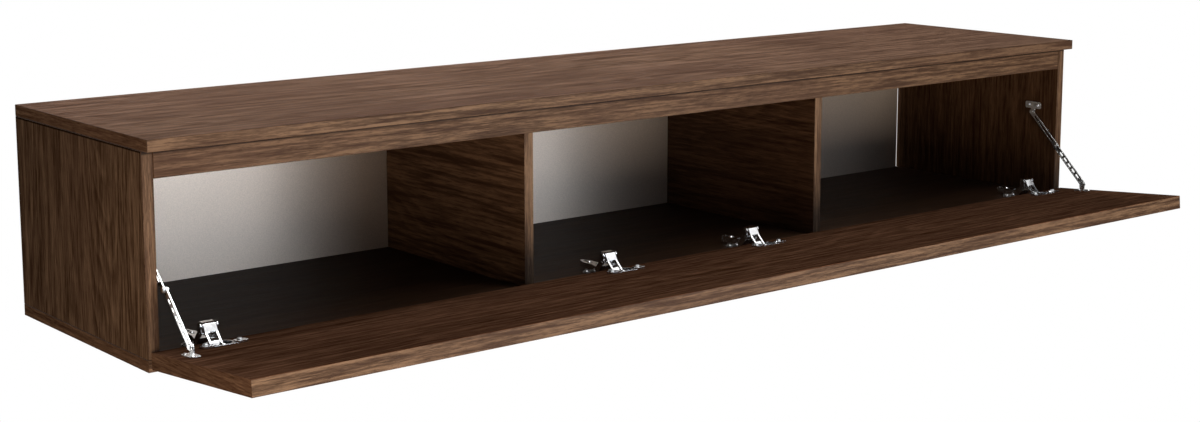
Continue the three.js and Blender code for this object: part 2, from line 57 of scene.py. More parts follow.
inCabinet = Matrix.Translation((0, -cabinet["depth"] * millimetre, -cabinet["height"] / 2 * millimetre))
inCabinet = inCabinet @ Matrix.Scale(millimetre, 4)
inFlap = inCabinet @ Matrix.Translation((0, -flap["back"], flap["rise"])) @ Matrix.Rotation(
    math.radians(-flap["tilt"]), 4, "X")


# Camera, at the photograph's viewing angle
view = {"place": (-1.9533, -2.5720, 0.5238), "heading": 39.079, "pitch": 9.042, "sensor": 36, "lens": 58.69,
        "rise": -0.06}
camera = bpy.data.objects.new("camera", bpy.data.cameras.new("camera"))
camera.data.sensor_width = view["sensor"]
camera.data.lens = view["lens"]
camera.data.shift_y = view["rise"]
camera.location = view["place"]
camera.rotation_euler = (math.radians(90 - view["pitch"]), 0, math.radians(-view["heading"]))
scene.collection.objects.link(camera)
scene.camera = camera


# Node helpers
def fill(made, **values):
    for name, value in values.items():
        made.inputs[name.replace("_", " ")].default_value = value


def link(tree, source, target):
    tree.links.new(source, target)


def ramp(tree, stops, factor):
    made = tree.nodes.new("ShaderNodeValToRGB")
    while len(made.color_ramp.elements) < len(stops):
        made.color_ramp.elements.new(0.5)
    for element, (place, colour) in zip(made.color_ramp.elements, stops):
        element.position = place
        element.color = (*colour, 1) if isinstance(colour, tuple) else (colour, colour, colour, 1)
    link(tree, factor, made.inputs["Fac"])
    return made.outputs[0]


def noise(tree, vector, scale, detail=2.0, roughness=0.5, distortion=0.0):
    made = tree.nodes.new("ShaderNodeTexNoise")
    fill(made, Scale=scale, Detail=detail, Roughness=roughness, Distortion=distortion)
    link(tree, vector, made.inputs["Vector"])
    return made.outputs[0]


def maths(tree, operation, *values, clamp=False):
    made = tree.nodes.new("ShaderNodeMath")
    made.operation = operation
    made.use_clamp = clamp
    for socket, value in zip(made.inputs, values):
        if isinstance(value, (int, float)):
            socket.default_value = value
        else:
            link(tree, value, socket)
    return made.outputs[0]


def stretched(tree, vector, scale):
    made = tree.nodes.new("ShaderNodeMapping")
    made.inputs["Scale"].default_value = scale
    link(tree, vector, made.inputs["Vector"])
    return made.outputs["Vector"]


def mixedColour(tree, factor, source, colour):
    made = tree.nodes.new("ShaderNodeMix")
    made.data_type = "RGBA"
    link(tree, factor, made.inputs["Factor"])
    link(tree, source, made.inputs["A"])
    made.inputs["B"].default_value = (*colour, 1)
    return made.outputs["Result"]


def addBump(tree, skin, height, look):
    bump = tree.nodes.new("ShaderNodeBump")
    fill(bump, Strength=look["strength"], Distance=look["distance"])
    link(tree, height, bump.inputs["Height"])
    link(tree, bump.outputs["Normal"], skin.inputs["Normal"])


def newGroup(name, defaults, results):
    tree = bpy.data.node_groups.new(name, "ShaderNodeTree")
    tree.interface.new_socket("Vector", in_out="INPUT", socket_type="NodeSocketVector")
    for socket, value in defaults.items():
        tree.interface.new_socket(socket, in_out="INPUT", socket_type="NodeSocketFloat").default_value = value
    for socket in results:
        tree.interface.new_socket(socket, in_out="OUTPUT", socket_type="NodeSocketFloat")
    return tree, tree.nodes.new("NodeGroupInput").outputs, tree.nodes.new("NodeGroupOutput").inputs


def useGroup(tree, group, vector, **values):
    made = tree.nodes.new("ShaderNodeGroup")
    made.node_tree = group
    fill(made, **values)
    link(tree, vector, made.inputs["Vector"])
    return made.outputs


def newMaterial(name):
    made = bpy.data.materials.new(name)
    made.use_nodes = True
    tree = made.node_tree
    place = tree.nodes.new("ShaderNodeTexCoord")
    return made, tree, tree.nodes["Principled BSDF"], place.outputs["Object"]


# Veneer figure, shared by every walnut board. Its grain runs along the x of the vector that it is given. A
# layer is its scale along and across the grain, and then its noise's detail, roughness and distortion.
figureLook = {
    "hills": ((0.8, 6, 6), 2.0, 0.45, 0.2), "streaks": ((4.5, 120, 120), 4.0, 0.6),
    "fibres": ((24, 340, 340), 4.0, 0.65), "patches": ((1.2, 5, 5), 3.0), "pores": ((46, 1000, 1000), 2.0),
    "ringStops": [(0.0, 0.1), (0.45, 0.45), (0.78, 1.0), (1.0, 0.1)], "poreStops": [(0.60, 0.0), (0.70, 1.0)],
    "fibreStrength": 1.45, "poreCrowding": 0.07,
}
figureDefaults = {"Ring Count": 30, "Ring Strength": 0.35, "Streak Strength": 1.2, "Pore Strength": 0.6}


def makeVeneerFigure():
    tree, given, out = newGroup("veneerFigure", figureDefaults, ("Tone", "Pores", "Fibre", "Patch"))

    def layer(part):
        scale, *texture = figureLook[part]
        return noise(tree, stretched(tree, given["Vector"], scale), 1.0, *texture)

    def swing(source, strength):
        return maths(tree, "MULTIPLY", maths(tree, "SUBTRACT", source, 0.5), strength)

    # growth rings, drawn as the level lines of a long soft noise
    levels = maths(tree, "MULTIPLY", layer("hills"), given["Ring Count"])
    ring = ramp(tree, figureLook["ringStops"], maths(tree, "FRACT", levels))

    # long streaks and finer fibres
    fibres = layer("fibres")
    streaks = swing(layer("streaks"), given["Streak Strength"])
    broad = maths(tree, "ADD", swing(ring, given["Ring Strength"]), streaks)
    fine = maths(tree, "ADD", swing(fibres, figureLook["fibreStrength"]), 0.5)
    link(tree, maths(tree, "ADD", broad, fine, clamp=True), out["Tone"])
    link(tree, fibres, out["Fibre"])
    link(tree, layer("patches"), out["Patch"])

    # open pores: thin dark lines, closer together in the soft part of each ring
    crowd = maths(tree, "MULTIPLY_ADD", ring, figureLook["poreCrowding"], layer("pores"))
    pores = ramp(tree, figureLook["poreStops"], crowd)
    link(tree, maths(tree, "MULTIPLY", pores, given["Pore Strength"]), out["Pores"])
    return tree


# Shadow in the joint under the top, for the boards that stand below it
underTop = (cabinet["height"] / 2 - cabinet["board"] - cabinet["seat"]) * millimetre
jointDefaults = {"Joint Height": underTop, "Width": 0.004}
jointStops = [(0.0, 1.0), (0.55, 0.85), (0.8, 0.12), (1.0, 0.0)]


def makeJointShade():
    tree, given, out = newGroup("jointShade", jointDefaults, ("Shade",))
    parts = tree.nodes.new("ShaderNodeSeparateXYZ")
    link(tree, given["Vector"], parts.inputs[0])
    below = maths(tree, "SUBTRACT", given["Joint Height"], parts.outputs["Z"])
    across = maths(tree, "DIVIDE", below, given["Width"], clamp=True)
    link(tree, ramp(tree, jointStops, across), out["Shade"])
    return tree


veneerFigure = makeVeneerFigure()
jointShade = makeJointShade()
walnutLook = {
    "dark": (0.036, 0.0165, 0.0080), "mid": (0.080, 0.0435, 0.0235), "light": (0.145, 0.082, 0.046),
    "red": (0.062, 0.030, 0.018), "toneStops": [(0.18, "dark"), (0.5, "mid"), (0.86, "light")],
    "redStops": [(0.4, 0.0), (0.75, 0.45)], "poreShade": 0.45, "jointShade": 0.2,
    "seedShares": (0.37, 1, 0.61), "roughness": [(0.3, 0.47), (0.7, 0.59)], "ior": 1.5,
    "bump": {"strength": 0.5, "distance": 0.00022},
}
grainTurns = {"X": (0, 0, 0), "Y": (0, 0, math.radians(-90)), "Z": (0, math.radians(90), 0)}


# Grain is the axis that the figure runs along, the tone-and-shade argument multiplies the colours and holds
# both the veneer's tone and painted shade, shine is the specular level, fine shrinks the figure, and joint is
# the width of the shadow under the top.
def makeWalnut(name, grain="X", seed=0.0, rings=30.0, ringStrength=0.35, streaks=1.2, toneAndShade=(1, 1, 1),
               shine=0.05, fine=1.0, joint=0.0):
    made, tree, skin, place = newMaterial(name)
    turn = tree.nodes.new("ShaderNodeMapping")
    turn.inputs["Rotation"].default_value = grainTurns[grain]
    turn.inputs["Location"].default_value = [seed * share for share in walnutLook["seedShares"]]
    turn.inputs["Scale"].default_value = (fine, fine, fine)
    link(tree, place, turn.inputs["Vector"])
    figure = useGroup(tree, veneerFigure, turn.outputs["Vector"], Ring_Count=rings,
                      Ring_Strength=ringStrength, Streak_Strength=streaks)

    # a colour times the tone-and-shade argument, which carries painted shade as well as tone
    def shadedTone(key, shade=1.0):
        return tuple(part * share * shade for part, share in zip(walnutLook[key], toneAndShade))

    colour = ramp(tree, [(stop, shadedTone(key)) for stop, key in walnutLook["toneStops"]], figure["Tone"])
    redness = ramp(tree, walnutLook["redStops"], figure["Patch"])
    colour = mixedColour(tree, redness, colour, shadedTone("red"))
    colour = mixedColour(tree, figure["Pores"], colour, shadedTone("dark", walnutLook["poreShade"]))
    if joint:
        shade = useGroup(tree, jointShade, place, Width=joint)["Shade"]
        colour = mixedColour(tree, shade, colour, shadedTone("dark", walnutLook["jointShade"]))
    link(tree, colour, skin.inputs["Base Color"])

    link(tree, ramp(tree, walnutLook["roughness"], figure["Fibre"]), skin.inputs["Roughness"])
    addBump(tree, skin, maths(tree, "SUBTRACT", figure["Fibre"], figure["Pores"]), walnutLook["bump"])
    fill(skin, IOR=walnutLook["ior"], Specular_IOR_Level=shine)
    return made


# Back board: a metal face that mirrors the bay softly. Its sheen is turned by the UV map called rolled.
# Specks and clouds are a noise's scale, detail and roughness. Play is how far each end is drawn in.
backLook = {
    "specks": (560, 3.0, 0.75), "clouds": (3.5, 2.0, 0.5), "speckShare": 0.6,
    "toneStops": [(0.3, (0.64, 0.57, 0.51)), (0.7, (0.93, 0.83, 0.745))],
    "roughness": [(0.3, 0.46), (0.7, 0.56)], "metal": 0.82, "anisotropic": 0.8, "map": "rolled",
    "bump": {"strength": 0.3, "distance": 0.0001}, "play": 0.0025,
}


def makeBackBoard():
    made, tree, skin, place = newMaterial("backBoard")
    specks = noise(tree, place, *backLook["specks"])
    clouds = noise(tree, place, *backLook["clouds"])
    both = maths(tree, "ADD", maths(tree, "MULTIPLY", specks, backLook["speckShare"]),
                 maths(tree, "MULTIPLY", clouds, 1 - backLook["speckShare"]))
    link(tree, ramp(tree, backLook["toneStops"], both), skin.inputs["Base Color"])
    link(tree, ramp(tree, backLook["roughness"], specks), skin.inputs["Roughness"])
    upright = tree.nodes.new("ShaderNodeTangent")
    upright.direction_type = "UV_MAP"
    upright.uv_map = backLook["map"]
    link(tree, upright.outputs[0], skin.inputs["Tangent"])
    addBump(tree, skin, specks, backLook["bump"])
    fill(skin, Metallic=backLook["metal"], Anisotropic=backLook["anisotropic"])
    return made


# Wear that the platings share: faint clouds, and hairline scratches along x
platingLook = {"clouds": (160, 3.0, 0.6), "cloudStops": (0.35, 0.65), "hairs": (90, 2600, 2600),
               "hairHeight": 0.2, "bump": {"strength": 0.12, "distance": 0.00005}}
wearDefaults = {"Base Roughness": 0.12, "Spread": 0.12}


def makePlatingWear():
    tree, given, out = newGroup("platingWear", wearDefaults, ("Roughness", "Height", "Cloud"))
    clouds = noise(tree, given["Vector"], *platingLook["clouds"])
    hairs = noise(tree, stretched(tree, given["Vector"], platingLook["hairs"]), 1.0)
    mixed = maths(tree, "MULTIPLY", maths(tree, "ADD", clouds, hairs), given["Spread"])
    link(tree, maths(tree, "ADD", given["Base Roughness"], mixed), out["Roughness"])
    raised = maths(tree, "MULTIPLY", hairs, platingLook["hairHeight"])
    link(tree, maths(tree, "ADD", clouds, raised), out["Height"])
    link(tree, clouds, out["Cloud"])
    return tree


platingWear = makePlatingWear()
platings = {
    "nickelPlate": {"low": (0.66, 0.66, 0.67), "high": (0.80, 0.80, 0.81), "roughness": 0.05, "spread": 0.10},
    "zincPlate": {"low": (0.60, 0.61, 0.62), "high": (0.74, 0.75, 0.77), "roughness": 0.14, "spread": 0.14,
                  "metal": 0.85},
    "satinPlate": {"low": (0.80, 0.80, 0.79), "high": (0.90, 0.90, 0.89), "roughness": 0.10, "spread": 0.14},
}


def makePlating(name, low, high, roughness, spread, metal=1.0):
    made, tree, skin, place = newMaterial(name)
    wear = useGroup(tree, platingWear, place, Base_Roughness=roughness, Spread=spread)
    stops = list(zip(platingLook["cloudStops"], (low, high)))
    link(tree, ramp(tree, stops, wear["Cloud"]), skin.inputs["Base Color"])
    link(tree, wear["Roughness"], skin.inputs["Roughness"])
    addBump(tree, skin, wear["Height"], platingLook["bump"])
    fill(skin, Metallic=metal)
    return made


backBoard = makeBackBoard()
nickel, zinc, satin = [makePlating(name, **look) for name, look in platings.items()]
print("materials made")


# Pieces. Each stands for one solid, on that solid's body. Edges over the smoothing angle stay sharp. It is in
# degrees, as is the weld's flat, under which faces become one.
smoothing = {"boards": 20, "pressed": 35, "bent": 50}
weld = {"near": 0.00001, "flat": 1}


def finishPiece(name, node, bm, materials, place=None, smoothAngle=smoothing["pressed"]):
    if place is not None:
        bmesh.ops.transform(bm, matrix=place, verts=bm.verts[:])
    mesh = bpy.data.meshes.new(name)
    bm.to_mesh(mesh)
    bm.free()
    for material in materials:
        mesh.materials.append(material)
    mesh.shade_smooth()
    mesh.set_sharp_from_angle(angle=math.radians(smoothAngle))
    piece = bpy.data.objects.new(name, mesh)
    evenShading = piece.modifiers.new("evenShading", "WEIGHTED_NORMAL")
    evenShading.keep_sharp = True
    scene.collection.objects.link(piece)
    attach(piece, bodyOfNode[node])
    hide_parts(node)


def mergedCopy(node):
    bm = bmesh.new()
    bm.from_mesh(nodes[node].data)
    bmesh.ops.remove_doubles(bm, verts=bm.verts[:], dist=weld["near"])
    bmesh.ops.dissolve_limit(bm, angle_limit=math.radians(weld["flat"]), verts=bm.verts[:],
                             edges=bm.edges[:])
    return bm


# Boards: each keeps its solid's shape, and its long edges are eased. The tints of the dividers and of the
# inner faces of the sides and the bottom are painted shade, as the bays are dark in the photograph; the top's
# bluer tint is painted sheen.
boards = {
    "top_panel": {"grain": "X", "seed": 1.3, "rings": 26, "ringStrength": 0.32, "streaks": 2.1,
                  "toneAndShade": (1, 1.01, 1.1), "shine": 0.16},
    "bottom_panel": {"grain": "X", "seed": 2.9, "rings": 26, "ringStrength": 0.2,
                     "toneAndShade": (0.33, 0.3, 0.28), "shine": 0.06, "outside": (0, 0, -1)},
    "side_panel_left": {"grain": "Z", "seed": 5.1, "ringStrength": 0.25, "toneAndShade": (0.58, 0.55, 0.52),
                        "shine": 0.0, "outside": (-1, 0, 0)},
    "side_panel_right": {"grain": "Z", "seed": 7.7, "ringStrength": 0.25, "toneAndShade": (0.58, 0.55, 0.52),
                         "shine": 0.0, "outside": (1, 0, 0)},
    "divider_left": {"grain": "Y", "seed": 9.2, "rings": 34, "ringStrength": 0.28, "streaks": 2.4,
                     "toneAndShade": (0.76, 0.74, 0.72)},
    "divider_right": {"grain": "Y", "seed": 11.6, "rings": 34, "ringStrength": 0.28, "streaks": 2.2,
                      "toneAndShade": (0.54, 0.49, 0.45)},
    "fascia_rail": {"grain": "X", "seed": 13.4, "ringStrength": 0.16, "streaks": 2.2},
    "hanging_rail_left": {"grain": "X", "seed": 15.0, "ringStrength": 0.3},
    "hanging_rail_middle": {"grain": "X", "seed": 16.0, "ringStrength": 0.3},
    "hanging_rail_right": {"grain": "X", "seed": 17.0, "ringStrength": 0.3},
    "flap_panel": {"grain": "X", "seed": 19.8, "rings": 26, "ringStrength": 0.25, "streaks": 1.4,
                   "toneAndShade": (0.89, 0.77, 0.76), "shine": 0.0},
}
bandLook = {"ringStrength": 0.12, "streaks": 2.6, "toneAndShade": (0.86, 0.98, 1.1), "shine": 0.12, "fine": 1.7}
# The arris, end and outside tints are painted shade: they darken the eased edges, the end faces of the boards
# and the outer faces, as these lie in shade.
arrisLook = {"grain": "X", "seed": 31.0, "toneAndShade": (0.5, 0.5, 0.5)}
endLook = {"grain": "Y", "seed": 33.0, "ringStrength": 0.2, "toneAndShade": (0.74, 0.74, 0.74), "shine": 0.0,
           "fine": 1.5}
outsideLook = {"ringStrength": 0.36, "toneAndShade": (0.66, 0.70, 0.72), "shine": 0.0}
seedSteps = {"band": 0.5, "outside": 1.0}
jointWidth = {"front": 0.0068, "side": 0.004}
easing = {"width": 0.0006, "shortest": 0.012, "angle": 60, "segments": 3}
skinOf = {"face": 0, "band": 1, "arris": 2, "end": 3, "outside": 4}
squarely = 0.9  # least share of a normal that makes a face count as facing that way


def boardSkins(node, look):
    uprightBoard = node.startswith(("side_panel", "divider"))
    belowTop = uprightBoard or node == "fascia_rail"
    front, side = (jointWidth["front"], jointWidth["side"]) if belowTop else (0.0, 0.0)
    plain = {key: value for key, value in look.items() if key != "outside"}
    skins = [
        makeWalnut(node + "Veneer", joint=side, **plain),
        makeWalnut(node + "Band", "Z" if uprightBoard else "X", look["seed"] + seedSteps["band"],
                   joint=front, **bandLook),
    ]
    if "outside" in look:
        skins.append(makeWalnut(node + "Outside", look["grain"], look["seed"] + seedSteps["outside"],
                                look.get("rings", 30), joint=side, **outsideLook))
    return skins


def skinOfFace(normal, look):
    if look["grain"] == "X" and abs(normal.x) > squarely:
        return skinOf["end"]
    if "outside" in look and normal.dot(Vector(look["outside"])) > squarely:
        return skinOf["outside"]
    return skinOf["band"] if normal.y < -squarely else skinOf["face"]


def easeLongEdges(bm):
    longEdges = [edge for edge in bm.edges
                 if edge.calc_length() > easing["shortest"] and len(edge.link_faces) == 2
                 and edge.calc_face_angle() > math.radians(easing["angle"])]
    eased = bmesh.ops.bevel(bm, geom=longEdges, offset=easing["width"], segments=easing["segments"],
                            affect="EDGES", profile=0.5, material=-1, clamp_overlap=True)
    for strip in eased["faces"]:
        strip.material_index = skinOf["arris"]


def addBoards():
    arris = makeWalnut("arrisVeneer", **arrisLook)
    end = makeWalnut("endVeneer", **endLook)
    for node, look in boards.items():
        face, band, *outside = boardSkins(node, look)
        bm = mergedCopy(node)
        for flat in bm.faces:
            flat.material_index = skinOfFace(flat.normal, look)
        easeLongEdges(bm)
        finishPiece(node + "Board", node, bm, [face, band, arris, end, *outside],
                    smoothAngle=smoothing["boards"])


def addBackBoard():
    bm = mergedCopy("back_panel")
    for corner in bm.verts:
        corner.co.x -= math.copysign(backLook["play"], corner.co.x)
    rolled = bm.loops.layers.uv.new(backLook["map"])
    for flat in bm.faces:
        for corner in flat.loops:
            corner[rolled].uv = (corner.vert.co.z, corner.vert.co.x)
    finishPiece("backBoard", "back_panel", bm, [backBoard])


addBoards()
addBackBoard()
print("boards made:", len(boards) + 1)


# Drawing helpers for the fittings, in millimetres. An outline is a list of points of one plane. Points nearer
# than same, or corners of a spun piece nearer than merge, are one. Round keeps the two corners of a full
# round end apart, and skin keeps the skins of joined parts out of one plane.
slack = {"same": 0.001, "merge": 0.0001, "round": 0.01, "skin": 0.02}
sharpAngle = 50


def arcPoints(centre, radius, start, end, steps):
    turns = [math.radians(start + (end - start) * step / steps) for step in range(steps + 1)]
    return [(centre[0] + radius * math.cos(turn), centre[1] + radius * math.sin(turn)) for turn in turns]


def ringPoints(centre, radius, sides=24):
    return arcPoints(centre, radius, 0, 360, sides)[:-1]


def roundedOutline(u0, u1, v0, v1, radius, steps=6):
    corners = [((u1 - radius, v0 + radius), -90), ((u1 - radius, v1 - radius), 0),
               ((u0 + radius, v1 - radius), 90), ((u0 + radius, v0 + radius), 180)]
    return [point for centre, start in corners
            for point in arcPoints(centre, radius, start, start + 90, steps)]


def strapOutline(points, half, steps=8):
    spots = [Vector(point) for point in points]
    runs = [(after - before).normalized() for before, after in zip(spots, spots[1:])]
    bends = []
    for spot, before, after in zip(spots[1:], runs, runs[1:]):
        aside = Vector((-before.y - after.y, before.x + after.x)) * half / (1 + before.dot(after))
        bends.append((spot - aside, spot + aside))
    first = math.degrees(math.atan2(runs[0].y, runs[0].x)) + 90
    last = math.degrees(math.atan2(runs[-1].y, runs[-1].x)) - 90
    outline = arcPoints(spots[0], half, first, first + 180, steps)
    outline += [tuple(near) for near, far in bends]
    outline += arcPoints(spots[-1], half, last, last + 180, steps)
    return outline + [tuple(far) for near, far in reversed(bends)]


# An outline and its holes, raised from low to high: along z, or across the cabinet
def addPlate(bm, outline, low, high, holes=(), across=False):
    edges = []
    for loop in (outline, *holes):
        spots = [point for i, point in enumerate(loop)
                 if (Vector(point) - Vector(loop[i - 1])).length > slack["same"]]
        verts = [bm.verts.new((low, *spot) if across else (*spot, low)) for spot in spots]
        edges += [bm.edges.new((verts[i - 1], verts[i])) for i in range(len(verts))]
    filled = bmesh.ops.triangle_fill(bm, use_beauty=True, edges=edges)["geom"]
    faces = [part for part in filled if isinstance(part, bmesh.types.BMFace)]
    raised = bmesh.ops.extrude_face_region(bm, geom=faces)["geom"]
    lift = Vector((high - low, 0, 0)) if across else Vector((0, 0, high - low))
    bmesh.ops.translate(bm, vec=lift, verts=[part for part in raised if isinstance(part, bmesh.types.BMVert)])


def addPin(bm, spot, radius, near, far, sides=24):
    place = Matrix.Translation(((near + far) / 2, *spot)) @ Matrix.Rotation(math.radians(90), 4, "Y")
    bmesh.ops.create_cone(bm, cap_ends=True, segments=sides, radius1=radius, radius2=radius,
                          depth=abs(far - near), matrix=place)


def roundEdges(bm, width, segments=3):
    bmesh.ops.recalc_face_normals(bm, faces=bm.faces[:])
    sharp = [edge for edge in bm.edges if len(edge.link_faces) == 2
             and edge.calc_face_angle() > math.radians(sharpAngle)]
    bmesh.ops.bevel(bm, geom=sharp, offset=width, segments=segments, affect="EDGES", profile=0.5, material=-1,
                    clamp_overlap=True)


def addSpun(bm, profile, steps):
    verts = [bm.verts.new((radius, 0, height)) for radius, height in profile]
    edges = [bm.edges.new(pair) for pair in zip(verts, verts[1:])]
    bmesh.ops.spin(bm, geom=verts + edges, cent=(0, 0, 0), axis=(0, 0, 1), angle=math.radians(360),
                   steps=steps, use_merge=True)
    bmesh.ops.remove_doubles(bm, verts=bm.verts[:], dist=slack["merge"])


def joinInto(bm, part):
    mesh = bpy.data.meshes.new("joined")
    part.to_mesh(mesh)
    part.free()
    bm.from_mesh(mesh)
    bpy.data.meshes.remove(mesh)


# A screw stands on z = 0, with a domed head and a cross recess. Flat, arm and slot are shares of the radius,
# recess is a share of the height, and taper narrows the foot of the recess.
screwShape = {"head": 3.8, "dome": 1.9, "shank": 2.0, "length": 12, "tip": 1.5, "hole": 2.4, "sides": 24,
              "domeSteps": 6, "flat": 0.66, "arm": 0.5, "slot": 0.15, "recess": 0.8, "taper": 0.7}


def addScrew(bm, place, radius, height, length=0.0):
    part = bmesh.new()
    shape = screwShape
    turns = [math.radians(90 * step / shape["domeSteps"]) for step in range(shape["domeSteps"])]
    dome = [(radius * math.cos(turn), height * math.sin(turn)) for turn in turns
            if math.cos(turn) > shape["flat"]]
    shank = [(0, -length), (shape["shank"] / 2, -length), (shape["shank"], shape["tip"] - length),
             (shape["shank"], 0)] if length else [(0, 0)]
    addSpun(part, [*shank, *dome, (radius * shape["flat"], height)], shape["sides"])

    # cross recess, sunk from the flat of the head
    rim = [edge for edge in part.edges if edge.is_boundary]
    arm, slot = shape["arm"] * radius, shape["slot"] * radius
    cross = []
    for quarter in range(4):
        turn = Matrix.Rotation(math.radians(90 * quarter), 2)
        cross += [part.verts.new((*(turn @ Vector(corner)), height)) for corner in
                  [(arm, slot), (slot, slot), (slot, arm)]]
    lips = [part.edges.new((cross[i - 1], cross[i])) for i in range(len(cross))]
    bmesh.ops.triangle_fill(part, use_beauty=True, edges=rim + lips)
    sunk = bmesh.ops.extrude_edge_only(part, edges=lips)["geom"]
    foot = [item for item in sunk if isinstance(item, bmesh.types.BMVert)]
    bmesh.ops.translate(part, vec=(0, 0, -shape["recess"] * height), verts=foot)
    bmesh.ops.scale(part, vec=(shape["taper"], shape["taper"], 1), verts=foot)
    bmesh.ops.edgeloop_fill(part, edges=[item for item in sunk if isinstance(item, bmesh.types.BMEdge)
                                         and item.is_boundary])
    bmesh.ops.recalc_face_normals(part, faces=part.faces[:])
    bmesh.ops.transform(part, matrix=place, verts=part.verts[:])
    joinInto(bm, part)


def addScrewPiece(name, node, spot, turn, place):
    bm = bmesh.new()
    standing = Matrix.Translation(spot) @ Matrix.Rotation(math.radians(turn), 4, "Z")
    addScrew(bm, standing, screwShape["head"], screwShape["dome"], screwShape["length"])
    finishPiece(name, node, bm, [zinc], place)


# Pivots in the side view, as y and z inside the cabinet, from the frame's joints
def pivotOf(jointName):
    joint = next(one for one in behaviour["joints"] if one["name"] == jointName)
    return tuple(inCabinet.inverted() @ Vector(joint["pos_m"]))[1:]


def flapSpot(spot):
    return tuple((inFlap.inverted() @ inCabinet @ Vector((0, *spot))).yz)


armPivot = pivotOf("outer_link_turn")
cupPivot = pivotOf("flap_hinge")
innerPivot = pivotOf("inner_link_turn")


# Cup: a drawn bowl with a rolled rim, a flange strip on the flap, and a raised ear at each end. Screw turns
# are the degrees for each cup and for each hand, so that the two crosses of a pair differ.
cupShape = {"along": 21.5, "radius": 17.2, "wall": 1.0, "depth": 12.7, "corner": 2.0, "cornerSteps": 5,
            "fillet": 1.0, "filletSteps": 4, "rimSteps": 6, "sides": 48, "flange": 19, "flangeSteps": 24,
            "thin": 1.0, "rimGap": 0.5, "earFrom": 26, "earTo": 40, "half": 32.5, "gap": 14, "ear": 3.0,
            "earGap": 0.6, "earFoot": 0.05, "earCorner": 3, "earSteps": 5, "screws": 24, "screwAlong": 30,
            "screwTurns": (20, 30), "rounding": 0.35}


def addCup(number, x):
    shape = cupShape
    face, floor = flap["thick"] + cabinet["seat"], flap["thick"] - shape["depth"]
    radius, wall, corner, fillet = shape["radius"], shape["wall"], shape["corner"], shape["fillet"]
    mouth, middle = radius - wall, (0, -shape["along"])
    bm = bmesh.new()
    outside = arcPoints((radius - corner, floor + corner), corner, -90, 0, shape["cornerSteps"])
    rim = arcPoints(((radius + mouth) / 2, face + shape["thin"] - wall / 2), wall / 2, 0, 180,
                    shape["rimSteps"])
    inside = arcPoints((mouth - fillet, floor + wall + fillet), fillet, 0, -90, shape["filletSteps"])
    addSpun(bm, [(0, floor), *outside, *rim, *inside, (0, floor + wall)], shape["sides"])
    bmesh.ops.translate(bm, vec=(*middle, 0), verts=bm.verts[:])

    # flange strip: the ring round the bowl and the ears, drawn as one outline with the bowl's hole
    strip = bmesh.new()
    ringEnd = math.degrees(math.asin((shape["earFrom"] - shape["along"]) / shape["flange"]))
    ring = arcPoints(middle, shape["flange"], -ringEnd, 180 + ringEnd, shape["flangeSteps"])
    earEnds = (-shape["earTo"], -shape["earFrom"], shape["earCorner"], shape["earSteps"])
    ears = roundedOutline(-shape["half"], shape["half"], *earEnds)
    halfWay = len(ears) // 2
    bowlHole = ringPoints(middle, mouth + shape["rimGap"], shape["sides"])
    screwHoles = [ringPoints((hand * shape["screws"], -shape["screwAlong"]), screwShape["hole"])
                  for hand in (-1, 1)]
    addPlate(strip, ring + ears[halfWay:] + ears[:halfWay], face, face + shape["thin"],
             [bowlHole, *screwHoles])
    for hand, hole in zip((-1, 1), screwHoles):
        ear = roundedOutline(*sorted((hand * shape["gap"], hand * shape["half"])), *earEnds)
        outer = [point for point in ear
                 if (Vector(point) - Vector(middle)).length > mouth + shape["earGap"]]
        addPlate(strip, outer, face + shape["earFoot"], face + shape["ear"], [hole])
    roundEdges(strip, shape["rounding"])
    joinInto(bm, strip)
    place = inFlap @ Matrix.Translation((x, 0, 0))
    finishPiece("hingeCup%d" % number, "hinge_cup_%d" % number, bm, [nickel], place)
    each, aside = shape["screwTurns"]
    for hand, side in ((-1, "left"), (1, "right")):
        spot = (hand * shape["screws"], -shape["screwAlong"], face + shape["ear"] + cabinet["seat"])
        addScrewPiece("cupScrew%d%s" % (number, side), "cup_screw_%d_%s" % (number, side), spot,
                      each * number + aside * hand, place)


# Outer link: a plate that curls over the arm pivot as a hood, on two legs that reach the cup pivot
linkShape = {"half": 9, "thick": 2.2, "legInside": 6.2, "knee": (-4.47, 38.48), "webEnd": (-3.27, 40.67),
             "plateTop": (1.32, 49.02), "hood": 3.7, "curl": (138, 90), "curlSteps": 5, "hoodLength": 6.5,
             "barrel": 2.6, "barrelInset": 0.2, "knuckle": 2.8, "pin": 1.4, "pinReach": 2.5, "rounding": 0.3}


def addOuterLink(number, x):
    shape = linkShape
    half = shape["thick"] / 2
    bm = bmesh.new()
    curl = arcPoints(armPivot, shape["hood"], *shape["curl"], shape["curlSteps"])
    hoodEnd = (armPivot[0] + shape["hoodLength"], armPivot[1] + shape["hood"])
    addPlate(bm, strapOutline([shape["webEnd"], shape["plateTop"], *curl, hoodEnd], half),
             -shape["half"], shape["half"], across=True)
    barrelHalf = shape["half"] - shape["barrelInset"]
    addPin(bm, armPivot, shape["barrel"], -barrelHalf, barrelHalf)
    leg = strapOutline([cupPivot, shape["knee"], shape["webEnd"], shape["plateTop"]], half - slack["skin"])
    for hand in (-1, 1):
        near, far = hand * shape["legInside"], hand * (shape["half"] - slack["skin"])
        addPlate(bm, leg, near, far, across=True)
        addPin(bm, cupPivot, shape["knuckle"], near, far)
        addPin(bm, cupPivot, shape["pin"], near, hand * (shape["half"] + shape["pinReach"]))
    roundEdges(bm, shape["rounding"])
    finishPiece("outerLink%d" % number, "hinge_outer_link_%d" % number, bm, [nickel],
                inCabinet @ Matrix.Translation((x, 0, 0)), smoothing["bent"])


# Inner link: a strap that arches over the rim of the cup
innerShape = {"half": 5.4, "thick": 2.0, "cup": (-16.84, 20.04), "rise": (-14.12, 27.36),
              "crown": (-10.05, 31.4), "knuckle": 3.0, "cupKnuckle": 2.4, "knuckleReach": 0.05,
              "rounding": 0.3}


